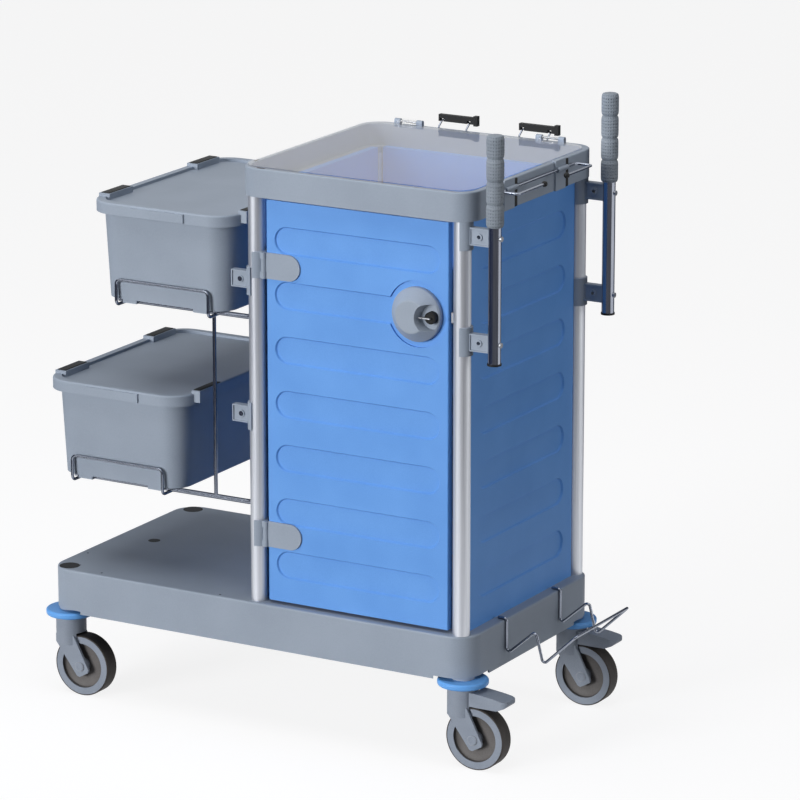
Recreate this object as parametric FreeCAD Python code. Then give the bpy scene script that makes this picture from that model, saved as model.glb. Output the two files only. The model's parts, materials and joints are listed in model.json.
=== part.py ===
import FreeCAD, Part
import math
import os

os.makedirs("parts", exist_ok=True)

# Ward service cart. All sizes in millimetres.
# Build frame: X to the right, Y to the rear, Z up, with X = 0 on the right end of
# the base, Y = 0 on its front and Z = 0 on the floor. save() moves it to the centre.

# ---- base tray ----
BASE_LENGTH = 770.0
BASE_WIDTH = 413.0
BASE_HEIGHT = 71.5
BASE_CORNER_R = 40.0
BASE_EDGE_R = 3.0
BASE_WALL = 3.5
DECK_THICKNESS = 4.0
SKIRT_RELIEF_R = 46.0
SKIRT_RELIEF_HEIGHT = 5.0
SKIRT_GAP = 0.5
BOSS_R = 18.0
PLUG_DEPTH = 2.0
CORNER_PLUG_R = 16.5
CENTRE_PLUG_R = 10.0
CORNER_PLUG_INSET_X = 27.0
CORNER_PLUG_INSET_Y = 22.0
CENTRE_PLUG_INSET_X = 69.0

# ---- casters ----
WHEEL_R = 50.0
WHEEL_WIDTH = 27.0
TREAD_EDGE_R = 2.0
TREAD_THICKNESS = 2.0
RIM_DEPTH = 11.0
RIM_WIDTH = 26.0
WEB_WIDTH = 10.0
HUB_BOSS_R = 11.0
HUB_BOSS_WIDTH = 28.0
CASTER_TRAIL = 27.5
CASTER_INSET_X = 24.0
CASTER_INSET_Y = 28.0
FORK_HOUSING_R = 24.5
FORK_HALF_WIDTH = 19.5
FORK_ARM_END_R = 12.5
FORK_ARM_REACH = 15.0
FORK_ARM_CORNER = 3.5
FORK_HEIGHT = 30.5
FORK_SKIRT = 16.0
WHEEL_SIDE_GAP = 1.5
CASTER_RISE = 41.5
WHEEL_TOP_GAP = 3.5
DISC_R = 40.0
DISC_THICKNESS = 10.0
DISC_EDGE_R = 3.5
DISC_GAP = 0.5
STEM_R = 6.0
STEM_IN_FORK = 22.5
STEM_IN_BASE = 59.0
AXLE_R = 4.0
AXLE_CAP_R = 8.0
AXLE_CAP_THICKNESS = 1.6
PEDAL_REACH = 86.0
PEDAL_HALF_WIDTH = 18.5
PEDAL_CORNER_R = 12.0
PEDAL_WALL_GAP = 3.0
PEDAL_PIVOT_REACH = 31.0
PEDAL_PIN_R = 2.5
PEDAL_TONGUE_HALF_WIDTH = 6.0
PEDAL_TONGUE_R = 5.0
PEDAL_PIN_HALF_LENGTH = 13.0

# ---- posts and top frame ----
POST_R = 13.5
POST_WALL = 2.0
POST_LENGTH = 649.0
FRAME_LENGTH = 407.0
FRAME_WIDTH = 409.0
FRAME_HEIGHT = 45.0
FRAME_CORNER_R = 35.0
FRAME_EDGE_R = 2.0
FRAME_WALL = 9.0
FRAME_LEDGE_HEIGHT = 10.0
FRAME_LEDGE = 20.0
FRAME_REAR_STRIP = 17.5
POST_INSET_X = 23.0
POST_INSET_Y = 20.0

# ---- clear lid ----
LID_THICKNESS = 3.0
LID_GAP = 0.3
LID_INSET = 5.0
LID_REAR_INSET = 19.0
LID_CORNER_R = 31.0
LID_PIN_R = 1.8
LID_KNUCKLE_R = 4.0
LID_PIVOT_REAR_INSET = 12.0
LID_PIVOT_HEIGHT = 6.5
LID_HINGE_HALF = 25.0
LID_KNUCKLE_HALF = 14.7
LID_FIXED_KNUCKLE = 10.0
LID_HINGE_OFFSET = 127.5

# ---- cupboard ----
PANEL_THICKNESS = 12.0
PANEL_EDGE_R = 2.0
PANEL_GAP = 1.5
PANEL_SETBACK = 20.0
DOOR_SIDE_GAP = 7.0
DOOR_BOTTOM_GAP = 5.0
DOOR_TOP_GAP = 5.0
DOOR_SETBACK = 14.0
RIB_TOP_DROP = 66.2
RIB_PITCH = 86.2
RIB_HEIGHT = 44.0
RIB_DEPTH = 3.0
RIB_SLOPE = 2.0
DOOR_RIB_MARGIN = 14.5
SIDE_RIB_MARGIN = 30.0
BACK_RIB_MARGIN = 22.0
SHELF_DROP = 84.0
SHELF_THICKNESS = 4.0
SHELF_SETBACK = 36.0
SHELF_POST_GAP = 0.5

# ---- door hinges ----
HINGE_UPPER_DROP = 108.0
HINGE_LOWER_RISE = 112.0
HINGE_HEIGHT = 41.0
HINGE_AXIS_GAP = 3.3
HINGE_AXIS_Y = 11.0
HINGE_PIN_R = 1.8
HINGE_KNUCKLE_R = 4.2
HINGE_MIDDLE_HALF = 10.0
HINGE_KNUCKLE_GAP = 0.3
HINGE_LENGTH = 64.0
STRAP_THICKNESS = 3.0
STRAP_START = 4.8
BRACKET_THICKNESS = 2.5

# ---- lock ----
LOCK_INSET_X = 53.8
LOCK_DROP = 152.4
LOCK_RECESS_R = 52.0
LOCK_R = 42.5
LOCK_HEIGHT = 26.5
LOCK_BEVEL = 17.0
LOCK_SHOULDER = 7.0
LOCK_POCKET_R = 23.0
LOCK_POCKET_FLOOR_R = 19.0
LOCK_POCKET_RIM = 2.5
LOCK_EDGE_R = 4.0
LOCK_POCKET_DEPTH = 18.0
KEY_OFFSET = 30.0
BARREL_R = 9.5
BARREL_LENGTH = 9.0
BARREL_SEAT = 5.0
LOCK_SHAFT_R = 5.0
KEY_LENGTH = 17.0
KEY_THICKNESS = 2.0
KEY_WIDTH = 6.0
CAM_WIDTH = 14.0
CAM_LENGTH = 29.5
CAM_THICKNESS = 3.0
CAM_GAP = 0.3
STRIKE_WIDTH = 6.0
STRIKE_HEIGHT = 16.0
STRIKE_DEPTH = 6.5
STRIKE_GAP = 2.0

# ---- push handles ----
HANDLE_R = 10.0
HANDLE_WALL = 2.0
HANDLE_REACH = 32.0
HANDLE_BOTTOM_DROP = 214.0
HANDLE_LENGTH = 342.0
GRIP_R = 13.5
GRIP_NECK_R = 12.2
GRIP_LENGTH = 140.0
GRIP_SEGMENTS = 4
GRIP_TAPER = 4.0
GRIP_TOP_R = 3.0
GRIP_END_COVER = 7.0
CAP_R = 11.0
CAP_THICKNESS = 3.0
CAP_INSERT = 12.0

# ---- clamps ----
HANDLE_CLAMP_DROPS = (22.0, 185.0)
RACK_CLAMP_DROPS = (135.0, 350.0)
CLAMP_THICKNESS = 3.0
CLAMP_HEIGHT = 44.0
CLAMP_SIDE_GAP = 0.5
LUG_THICKNESS = 12.0
LUG_HEIGHT = 27.0
LUG_RIM = 2.0
LUG_BOSS_R = 5.5
LUG_HOLE_R = 3.0
RACK_LUG_REACH = 44.0
SCREW_R = 2.5
SCREW_HEAD_R = 4.0
SCREW_HEAD_THICKNESS = 2.5
SCREW_END_GAP = 3.0

# ---- wire rack ----
TIE_ROD_R = 4.0
TIE_ROD_REACH = 28.0
RAIL_R = 4.0
HANGER_REACH = 21.0
RACK_BEND_R = 12.0
RAIL_OVERHANG = 5.0
UPRIGHT_R = 3.0
UPRIGHT_REACH = 93.0
LOOP_R = 2.5
LOOP_INSET_X = 28.5
LOOP_HEIGHT = 41.0
LOOP_BEND_R = 8.0
LOOP_BIN_GAP = 4.0
LOOP_OFFSET = 5.0
RAIL_INSET_Y = 14.0

# ---- bins ----
BIN_GAP_X = 151.5
BIN_STEP_X = 89.0
BIN_STEP_Z = 298.4
BIN_BOTTOM_DROP = 496.0
BIN_FRONT_Y = 28.0
BIN_WIDTH = 227.0
BIN_DEPTH = 354.0
BIN_HEIGHT = 149.0
BIN_DRAFT = 8.0
BIN_CORNER_R = 32.0
BIN_WALL = 3.0
BIN_FLOOR = 4.0
BIN_RIM_HEIGHT = 6.0
BIN_RIM_WIDTH = 4.5
FOOT_HEIGHT = 6.0
FOOT_WIDTH = 26.0
FOOT_DEPTH = 7.0
FOOT_INSET_X = 35.0
FOOT_INSET_Y = 1.5
LID_SKIRT_GAP = 1.5
LID_SKIRT_WALL = 5.0
LID_SKIRT_DROP = 11.0
LID_PLATE = 3.0
LID_LIP_HEIGHT = 7.5
LID_LIP_WIDTH = 14.0
LID_EDGE_R = 3.0
PAD_LENGTH = 67.0
PAD_OFFSET = 128.5
PAD_SHIFT = 2.0
PAD_TOP = 12.5
REST_INSET = 2.5
REST_WIDTH = 20.0
LATCH_REACH = 9.5
LATCH_WIDTH = 15.0
LATCH_DROP = 6.5
BAND_WIDTH = 100.0
BAND_HEIGHT = 14.0
BAND_DEPTH = 3.0
BAND_RISE = 1.5

# ---- rear clips ----
CLIP_LENGTH = 70.0
CLIP_OFFSET = 72.5
CLIP_SHIFT = 25.7
CLIP_WIRE_R = 1.5
CLIP_AXIS_Z = 12.0
CLIP_AXIS_Y = 6.0
CLIP_FOOT_INSET = 6.0
CLIP_FOOT_DEPTH = 4.0
CLIP_FOOT_RISE = 3.0
CLIP_LEG_LEFT = 5.0
CLIP_LEG_RIGHT = 15.0
CLIP_BEND_R = 3.0
JAW_DEPTH = 8.0
JAW_BELOW = 2.0
JAW_ABOVE = 9.0
JAW_SLOT_R = 5.0
JAW_SLOT_OUT = 2.5
JAW_SLOT_IN = 4.0
JAW_BLOCK = 7.0
JAW_BLOCK_EXTRA = 2.5

# ---- bag rail ----
BAG_RAIL_R = 2.0
BAG_RAIL_X = 6.0
BAG_RAIL_DROP = 12.0
BAG_RAIL_SPREAD = (-118.5, 120.5)
BAG_RAIL_REACH = 29.0
BAG_RAIL_RETURN = 84.0
BAG_RAIL_BEND_R = 6.0
BAG_NUB_R = 4.0
RAIL_BRACKET_SPREAD = (-87.0, 77.0)
RAIL_BRACKET_WIDTH = 32.0
RAIL_BRACKET_PLATE = 3.5
RAIL_BRACKET_TOP = 2.0
RAIL_BRACKET_HOOK = 4.5
RAIL_BARREL_R = 4.0

# ---- wire holder on the right end of the base ----
HOLDER_WIRE_R = 2.25
HOLDER_ARM_SPREAD = (-88.5, 87.5)
HOLDER_HOOK = 12.0
HOLDER_FACE_GAP = 0.5
# reach out of the base and rise above its underside
HOLDER_LOW_RISE = 16.5
HOLDER_CREST_AT = (54.0, 61.5)
HOLDER_TROUGH_AT = (67.0, 9.5)
HOLDER_END_AT = (123.0, 62.5)
HOLDER_BEND_R = 5.0

# ---- fits ----
RUN_FIT = 0.05
SEAT_FIT = 0.1

# ---- derived places ----
BASE_Z = 2 * WHEEL_R + CASTER_RISE
DECK_Z = BASE_Z + BASE_HEIGHT
DISC_TOP_Z = BASE_Z - SKIRT_GAP
DISC_Z = DISC_TOP_Z - DISC_THICKNESS
FORK_TOP_Z = DISC_Z - DISC_GAP
CASTER_X = {"l": CASTER_INSET_X - BASE_LENGTH, "r": -CASTER_INSET_X}
CASTER_Y = {"f": CASTER_INSET_Y, "r": BASE_WIDTH - CASTER_INSET_Y}
CORNERS = [(row, side) for row in "fr" for side in "lr"]
RIM_R = WHEEL_R - TREAD_THICKNESS
RIM_INNER_R = RIM_R - RIM_DEPTH
FRAME_Z = DECK_Z + POST_LENGTH
FRAME_TOP_Z = FRAME_Z + FRAME_HEIGHT
LEDGE_Z = FRAME_Z + FRAME_LEDGE_HEIGHT
POST_X = {"l": POST_INSET_X - FRAME_LENGTH, "r": -POST_INSET_X}
POST_Y = {"f": POST_INSET_Y, "r": FRAME_WIDTH - POST_INSET_Y}
FRAME_MID_X = -FRAME_LENGTH / 2
FRAME_MID_Y = FRAME_WIDTH / 2
RIB_TOP_Z = FRAME_Z - RIB_TOP_DROP
RIB_COUNT = 1 + int((RIB_TOP_Z - RIB_HEIGHT / 2 - DECK_Z - DOOR_BOTTOM_GAP) // RIB_PITCH)
SHELF_Z = FRAME_Z - SHELF_DROP
HINGE_ZS = (FRAME_Z - HINGE_UPPER_DROP, DECK_Z + HINGE_LOWER_RISE)
LOCK_Z = FRAME_Z - LOCK_DROP
HANDLE_BOTTOM_Z = FRAME_Z - HANDLE_BOTTOM_DROP
HANDLE_CLAMP_ZS = [FRAME_Z - drop for drop in HANDLE_CLAMP_DROPS]
RACK_CLAMP_ZS = [FRAME_Z - drop for drop in RACK_CLAMP_DROPS]
DOOR_LEFT_X = POST_X["l"] + POST_R + DOOR_SIDE_GAP
DOOR_RIGHT_X = POST_X["r"] - POST_R - DOOR_SIDE_GAP
DOOR_BACK_Y = DOOR_SETBACK + PANEL_THICKNESS
HINGE_X = DOOR_LEFT_X - HINGE_AXIS_GAP
LOCK_X = DOOR_RIGHT_X - LOCK_INSET_X
RECESS_Y = DOOR_SETBACK + RIB_DEPTH
LOCK_FRONT_Y = RECESS_Y - LOCK_HEIGHT
POCKET_Y = LOCK_FRONT_Y + LOCK_POCKET_DEPTH
KEY_X = LOCK_X + KEY_OFFSET
BACK_Y = FRAME_WIDTH - FRAME_REAR_STRIP
HANDLE_Z = HANDLE_BOTTOM_Z + HANDLE_LENGTH
GRIP_Z = HANDLE_Z + GRIP_END_COVER - GRIP_LENGTH
LID_Z = FRAME_TOP_Z + LID_GAP
LID_PIVOT_Y = FRAME_WIDTH - LID_PIVOT_REAR_INSET
LID_PIVOT_Z = FRAME_TOP_Z + LID_PIVOT_HEIGHT
BIN_CENTRE_X = POST_X["l"] - BIN_GAP_X - BIN_WIDTH / 2
BIN_BOTTOM_Z = FRAME_Z - BIN_BOTTOM_DROP
BIN_REAR_Y = BIN_FRONT_Y + BIN_DEPTH
LOOP_WIDTH = BIN_WIDTH - 2 * LOOP_INSET_X
RAIL_Z = BIN_BOTTOM_Z - RAIL_R
CLIP_Y = FRAME_WIDTH + CLIP_AXIS_Y
CLIP_Z = FRAME_TOP_Z + CLIP_AXIS_Z
BAG_RAIL_Z = FRAME_TOP_Z - BAG_RAIL_DROP
BAG_RAIL_Y = [FRAME_MID_Y + step for step in BAG_RAIL_SPREAD]
RAIL_BRACKET_YS = [FRAME_MID_Y + step for step in RAIL_BRACKET_SPREAD]
HOLDER_ARM_YS = [BASE_WIDTH / 2 + step for step in HOLDER_ARM_SPREAD]
HOLDER_LOW_Z = BASE_Z + HOLDER_LOW_RISE
HOLDER_CREST, HOLDER_TROUGH, HOLDER_END = [(reach, BASE_Z + rise) for reach, rise in (
    HOLDER_CREST_AT, HOLDER_TROUGH_AT, HOLDER_END_AT)]
SPAN_LEFT = CASTER_X["l"] - DISC_R
SPAN_RIGHT = HOLDER_END[0] + HOLDER_WIRE_R
SPAN_FRONT = CASTER_Y["f"] - DISC_R
SPAN_REAR = CASTER_Y["r"] + DISC_R
TO_CENTRE = FreeCAD.Vector(-(SPAN_LEFT + SPAN_RIGHT) / 2, -(SPAN_FRONT + SPAN_REAR) / 2, 0)

V = FreeCAD.Vector
ALONG_X = V(1, 0, 0)
ALONG_Y = V(0, 1, 0)
ALONG_Z = V(0, 0, 1)


# ---- helpers ----
def save(name, shape):
    placed = shape.copy()
    placed.translate(TO_CENTRE)
    placed.exportStep("parts/" + name + ".step")


def block(x0, x1, y0, y1, z0, z1):
    return Part.makeBox(x1 - x0, y1 - y0, z1 - z0, V(x0, y0, z0))


def rod(start, end, radius):
    run = end - start
    return Part.makeCylinder(radius, run.Length, start, run)


def rod_x(x0, x1, y, z, radius):
    return rod(V(x0, y, z), V(x1, y, z), radius)


def rod_y(x, y0, y1, z, radius):
    return rod(V(x, y0, z), V(x, y1, z), radius)


def rod_z(x, y, z0, z1, radius):
    return rod(V(x, y, z0), V(x, y, z1), radius)


def rounded_outline(x0, x1, y0, y1, z, r):
    bow = r * (1 - math.sqrt(0.5))
    arcs = [
        (V(x0, y0 + r, z), V(x0 + bow, y0 + bow, z), V(x0 + r, y0, z)),
        (V(x1 - r, y0, z), V(x1 - bow, y0 + bow, z), V(x1, y0 + r, z)),
        (V(x1, y1 - r, z), V(x1 - bow, y1 - bow, z), V(x1 - r, y1, z)),
        (V(x0 + r, y1, z), V(x0 + bow, y1 - bow, z), V(x0, y1 - r, z)),
    ]
    edges = []
    for index, arc in enumerate(arcs):
        edges.append(Part.Arc(*arc).toShape())
        edges.append(Part.LineSegment(arc[2], arcs[(index + 1) % 4][0]).toShape())
    return Part.Wire(edges)


def rounded_prism(x0, x1, y0, y1, z0, z1, r):
    face = Part.Face(rounded_outline(x0, x1, y0, y1, z0, r))
    return face.extrude(V(0, 0, z1 - z0))


def profile_y(points, y0, y1):
    corners = [V(x, y0, z) for x, z in points]
    face = Part.Face(Part.makePolygon(corners + corners[:1]))
    return face.extrude(V(0, y1 - y0, 0))


def turned_z(points, x, y):
    corners = [V(x + r, y, z) for r, z in points]
    face = Part.Face(Part.makePolygon(corners + corners[:1]))
    return face.revolve(V(x, y, 0), ALONG_Z, 360)


def fuse(shapes):
    return shapes[0].multiFuse(shapes[1:]).removeSplitter()


def round_level_edges(solid, z, radius):
    edges = [e for e in solid.Edges if abs(e.BoundBox.ZMin - z) + abs(e.BoundBox.ZMax - z) < RUN_FIT]
    return solid.makeFillet(radius, edges)


def bent_wire(points, radius, bend):
    pieces = []
    start = points[0]
    for before, corner, after in zip(points, points[1:], points[2:]):
        way_in = (corner - before).normalize()
        way_out = (after - corner).normalize()
        turn = way_in.getAngle(way_out)
        setback = bend * math.tan(turn / 2)
        arc_start = corner - way_in * setback
        normal = way_in.cross(way_out).normalize()
        centre = arc_start + normal.cross(way_in) * bend
        disc = Part.Face(Part.Wire(Part.makeCircle(radius, arc_start, way_in)))
        pieces.append(rod(start, arc_start, radius))
        pieces.append(disc.revolve(centre, normal, math.degrees(turn)))
        start = corner + way_out * setback
    pieces.append(rod(start, points[-1], radius))
    return fuse(pieces)


# ---- base ----
def plug_places():
    places = [(CORNER_PLUG_INSET_X - BASE_LENGTH, y, CORNER_PLUG_R)
              for y in (CORNER_PLUG_INSET_Y, BASE_WIDTH - CORNER_PLUG_INSET_Y)]
    places.append((CENTRE_PLUG_INSET_X - BASE_LENGTH, BASE_WIDTH / 2, CENTRE_PLUG_R))
    return places


def base_tray():
    wall = BASE_WALL
    tray = rounded_prism(-BASE_LENGTH, 0, 0, BASE_WIDTH, BASE_Z, DECK_Z, BASE_CORNER_R)
    tray = round_level_edges(tray, DECK_Z, BASE_EDGE_R)
    roof = DECK_Z - DECK_THICKNESS
    tray = tray.cut(rounded_prism(wall - BASE_LENGTH, -wall, wall, BASE_WIDTH - wall,
                                  BASE_Z, roof, BASE_CORNER_R - wall))
    for row, side in CORNERS:
        x, y = CASTER_X[side], CASTER_Y[row]
        tray = tray.cut(rod_z(x, y, BASE_Z, BASE_Z + SKIRT_RELIEF_HEIGHT, SKIRT_RELIEF_R))
    for row, side in CORNERS:
        x, y = CASTER_X[side], CASTER_Y[row]
        tray = tray.fuse(rod_z(x, y, DISC_TOP_Z, roof, BOSS_R))
    for row, side in CORNERS:
        x, y = CASTER_X[side], CASTER_Y[row]
        tray = tray.cut(rod_z(x, y, DISC_TOP_Z, DISC_TOP_Z + STEM_IN_BASE, STEM_R))
    for x, y, radius in plug_places():
        tray = tray.cut(rod_z(x, y, DECK_Z - PLUG_DEPTH, DECK_Z, radius))
    return tray.removeSplitter()


def deck_plugs():
    return Part.makeCompound([rod_z(x, y, DECK_Z - PLUG_DEPTH, DECK_Z, radius - SEAT_FIT)
                              for x, y, radius in plug_places()])


# ---- casters ----
def bumper_discs():
    discs = []
    for row, side in CORNERS:
        x, y = CASTER_X[side], CASTER_Y[row]
        disc = rod_z(x, y, DISC_Z, DISC_TOP_Z, DISC_R)
        disc = disc.makeFillet(DISC_EDGE_R, [e for e in disc.Edges if e.Closed])
        discs.append(disc.cut(rod_z(x, y, DISC_Z, DISC_TOP_Z, STEM_R + SEAT_FIT)))
    return Part.makeCompound(discs)


def caster_stems():
    low = FORK_TOP_Z - STEM_IN_FORK
    high = DISC_TOP_Z + STEM_IN_BASE
    return Part.makeCompound([rod_z(CASTER_X[side], CASTER_Y[row], low, high, STEM_R)
                              for row, side in CORNERS])


def pedal_pivot(x):
    return x + PEDAL_PIVOT_REACH, FORK_TOP_Z - STEM_IN_FORK + PEDAL_TONGUE_R


def caster_fork(x, y, braked):
    axle_x = x + CASTER_TRAIL
    half = FORK_HALF_WIDTH
    skirt_z = FORK_TOP_Z - FORK_HEIGHT - FORK_SKIRT
    housing = rod_z(x, y, skirt_z, FORK_TOP_Z, FORK_HOUSING_R)
    back = -math.sqrt(FORK_HOUSING_R ** 2 - half ** 2) + x - 2.2
    brow = x + FORK_HOUSING_R - 8.0
    upper = FORK_TOP_Z - FORK_HEIGHT
    lower = skirt_z + 3.0
    drop = math.hypot(axle_x - x, upper - WHEEL_R)
    along_x, along_z = (axle_x - x) / drop, (WHEEL_R - upper) / drop

    def on_arm(along, across):
        return (axle_x + along * along_x - across * along_z, WHEEL_R + along * along_z + across * along_x)

    reach, wide, corner = FORK_ARM_REACH, FORK_ARM_END_R, FORK_ARM_CORNER
    outline = [(back, upper), (back, lower), on_arm(reach - corner, -wide), on_arm(reach, corner - wide),
               on_arm(reach, wide - corner), on_arm(reach - corner, wide), (brow, upper)]
    arms = profile_y(outline, y - half, y + half)
    boss = rod_y(axle_x, y - half, y + half, WHEEL_R, FORK_ARM_END_R)
    pieces = [housing, arms, boss]
    slot_half = WHEEL_WIDTH / 2 + WHEEL_SIDE_GAP
    slot = rod_y(axle_x, y - slot_half, y + slot_half, WHEEL_R, WHEEL_R + WHEEL_TOP_GAP)
    low = FORK_TOP_Z - STEM_IN_FORK
    if braked:
        pin_x, pin_z = pedal_pivot(x)
        tongue = PEDAL_TONGUE_HALF_WIDTH
        radius = PEDAL_TONGUE_R
        pieces.append(block(x, pin_x, y - tongue, y + tongue, pin_z - radius, pin_z + radius))
        pieces.append(rod_y(pin_x, y - tongue, y + tongue, pin_z, radius))
        pieces.append(rod_y(pin_x, y - PEDAL_PIN_HALF_LENGTH, y + PEDAL_PIN_HALF_LENGTH,
                            pin_z, PEDAL_PIN_R))
    fork = fuse(pieces).cut(slot)
    fork = fork.cut(rod_z(x, y, low, FORK_TOP_Z, STEM_R + RUN_FIT))
    fork = fork.cut(rod_y(axle_x, y - half, y + half, WHEEL_R, AXLE_R + RUN_FIT))
    return fork.removeSplitter()


def caster_axle(x, y):
    axle_x = x + CASTER_TRAIL
    half = FORK_HALF_WIDTH
    cap = AXLE_CAP_THICKNESS
    return fuse([
        rod_y(axle_x, y - half - cap, y - half, WHEEL_R, AXLE_CAP_R),
        rod_y(axle_x, y - half - cap, y + half + cap, WHEEL_R, AXLE_R),
        rod_y(axle_x, y + half, y + half + cap, WHEEL_R, AXLE_CAP_R)])


def caster_hub(x, y):
    axle_x = x + CASTER_TRAIL
    half = RIM_WIDTH / 2
    rim = rod_y(axle_x, y - half, y + half, WHEEL_R, RIM_R)
    rim = rim.cut(rod_y(axle_x, y - half, y + half, WHEEL_R, RIM_INNER_R))
    web = rod_y(axle_x, y - WEB_WIDTH / 2, y + WEB_WIDTH / 2, WHEEL_R, RIM_INNER_R)
    boss = rod_y(axle_x, y - HUB_BOSS_WIDTH / 2, y + HUB_BOSS_WIDTH / 2, WHEEL_R, HUB_BOSS_R)
    bore = rod_y(axle_x, y - HUB_BOSS_WIDTH / 2, y + HUB_BOSS_WIDTH / 2, WHEEL_R, AXLE_R + RUN_FIT)
    return fuse([rim, web, boss]).cut(bore)


def caster_tyre(x, y):
    axle_x = x + CASTER_TRAIL
    half = WHEEL_WIDTH / 2
    tyre = rod_y(axle_x, y - half, y + half, WHEEL_R, WHEEL_R)
    tyre = tyre.makeFillet(TREAD_EDGE_R, [e for e in tyre.Edges if e.Closed])
    return tyre.cut(rod_y(axle_x, y - half, y + half, WHEEL_R, RIM_R))


def brake_pedal(x, y):
    pin_x, pin_z = pedal_pivot(x)
    half = PEDAL_HALF_WIDTH
    under = WHEEL_R * 2 + 3.0
    top = FORK_TOP_Z - 7.0
    tip = x + PEDAL_REACH
    crown = top + 1.5
    outline = [(x, under), (tip - 18.0, under), (tip - 5.0, under + 5.5), (tip, under + 11.0),
               (tip - 2.5, top - 5.5), (tip - 24.0, top - 2.0), (x + PEDAL_PIVOT_REACH, crown), (x, crown)]
    pedal = profile_y(outline, y - half, y + half)
    pedal = pedal.common(rounded_prism(x - half, tip, y - half, y + half, under, crown, PEDAL_CORNER_R))
    pedal = pedal.cut(rod_z(x, y, under, crown, FORK_HOUSING_R + PEDAL_WALL_GAP))
    slot = PEDAL_TONGUE_HALF_WIDTH + 0.5
    slot_r = PEDAL_TONGUE_R + 1.0
    pedal = pedal.cut(block(x, pin_x, y - slot, y + slot, under, pin_z + slot_r))
    pedal = pedal.cut(rod_y(pin_x, y - slot, y + slot, pin_z, slot_r))
    pedal = pedal.cut(block(pin_x, pin_x + slot_r, y - slot, y + slot, under, pin_z))
    pin_half = PEDAL_PIN_HALF_LENGTH + 0.5
    return pedal.cut(rod_y(pin_x, y - pin_half, y + pin_half, pin_z, PEDAL_PIN_R + RUN_FIT))


# ---- frame ----
def post(x, y):
    tube = rod_z(x, y, DECK_Z, FRAME_Z, POST_R)
    return tube.cut(rod_z(x, y, DECK_Z, FRAME_Z, POST_R - POST_WALL))


def lid_hinge_xs():
    return (FRAME_MID_X - LID_HINGE_OFFSET, FRAME_MID_X + LID_HINGE_OFFSET)


def top_frame():
    wall, ledge, strip = FRAME_WALL, FRAME_LEDGE, FRAME_REAR_STRIP
    ring = rounded_prism(-FRAME_LENGTH, 0, 0, FRAME_WIDTH, FRAME_Z, FRAME_TOP_Z, FRAME_CORNER_R)
    ring = round_level_edges(ring, FRAME_TOP_Z, FRAME_EDGE_R)
    ring = ring.cut(rounded_prism(wall - FRAME_LENGTH, -wall, wall, BACK_Y,
                                  LEDGE_Z, FRAME_TOP_Z, FRAME_CORNER_R - wall))
    ring = ring.cut(block(ledge - FRAME_LENGTH, -ledge, ledge, BACK_Y, FRAME_Z, LEDGE_Z))
    bosses = [rod_z(POST_X[side], POST_Y[row], FRAME_Z, LEDGE_Z, POST_R) for row, side in CORNERS]
    knuckles = []
    for x in lid_hinge_xs():
        for start in (x - LID_HINGE_HALF, x + LID_HINGE_HALF - LID_FIXED_KNUCKLE):
            end = start + LID_FIXED_KNUCKLE
            knuckles.append(rod_x(start, end, LID_PIVOT_Y, LID_PIVOT_Z, LID_KNUCKLE_R))
            knuckles.append(block(start, end, LID_PIVOT_Y - LID_KNUCKLE_R, LID_PIVOT_Y + LID_KNUCKLE_R,
                                  FRAME_TOP_Z, LID_PIVOT_Z))
    ring = fuse([ring] + bosses + knuckles)
    for x in lid_hinge_xs():
        ring = ring.cut(rod_x(x - LID_HINGE_HALF, x + LID_HINGE_HALF, LID_PIVOT_Y, LID_PIVOT_Z, LID_PIN_R))
    for leg in clip_legs():
        ring = ring.cut(rod_z(leg, FRAME_WIDTH - CLIP_FOOT_INSET, FRAME_TOP_Z - CLIP_FOOT_DEPTH,
                              FRAME_TOP_Z, CLIP_WIRE_R))
    return ring


def top_lid():
    rear = FRAME_WIDTH - LID_REAR_INSET
    top = LID_Z + LID_THICKNESS
    lid = rounded_prism(LID_INSET - FRAME_LENGTH, -LID_INSET, LID_INSET - 3.0, rear,
                        LID_Z, top, LID_CORNER_R)
    pieces = [lid]
    for x in lid_hinge_xs():
        x0, x1 = x - LID_KNUCKLE_HALF, x + LID_KNUCKLE_HALF
        pieces.append(rod_x(x0, x1, LID_PIVOT_Y, LID_PIVOT_Z, LID_KNUCKLE_R))
        pieces.append(block(x0, x1, rear - 8.0, LID_PIVOT_Y, top - 0.5, LID_PIVOT_Z + 2.0))
    lid = fuse(pieces)
    for x in lid_hinge_xs():
        lid = lid.cut(rod_x(x - LID_KNUCKLE_HALF, x + LID_KNUCKLE_HALF, LID_PIVOT_Y, LID_PIVOT_Z,
                            LID_PIN_R + RUN_FIT))
    return lid


# ---- cupboard ----
def stadium(length, height, y):
    r = height / 2
    x = length / 2 - r
    right = Part.Arc(V(x, y, -r), V(x + r, y, 0), V(x, y, r)).toShape()
    top = Part.LineSegment(V(x, y, r), V(-x, y, r)).toShape()
    left = Part.Arc(V(-x, y, r), V(-x - r, y, 0), V(-x, y, -r)).toShape()
    bottom = Part.LineSegment(V(-x, y, -r), V(x, y, -r)).toShape()
    return Part.Wire([right, top, left, bottom])


def rib_cutter(length):
    outside = 2 * RIB_SLOPE / RIB_DEPTH
    mouth = stadium(length + outside, RIB_HEIGHT + outside, -1)
    floor = stadium(length - 2 * RIB_SLOPE, RIB_HEIGHT - 2 * RIB_SLOPE, RIB_DEPTH)
    return Part.makeLoft([mouth, floor], True, True)


def ribbed_panel(width, z0, z1, margin):
    panel = block(-width / 2, width / 2, 0, PANEL_THICKNESS, z0, z1)
    upright = [e for e in panel.Edges if e.BoundBox.YMax < RUN_FIT and e.BoundBox.ZLength > RIB_HEIGHT]
    panel = panel.makeFillet(PANEL_EDGE_R, upright)
    cutter = rib_cutter(width - 2 * margin)
    for index in range(RIB_COUNT):
        rib = cutter.copy()
        rib.translate(V(0, 0, RIB_TOP_Z - index * RIB_PITCH))
        panel = panel.cut(rib)
    return panel


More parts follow.
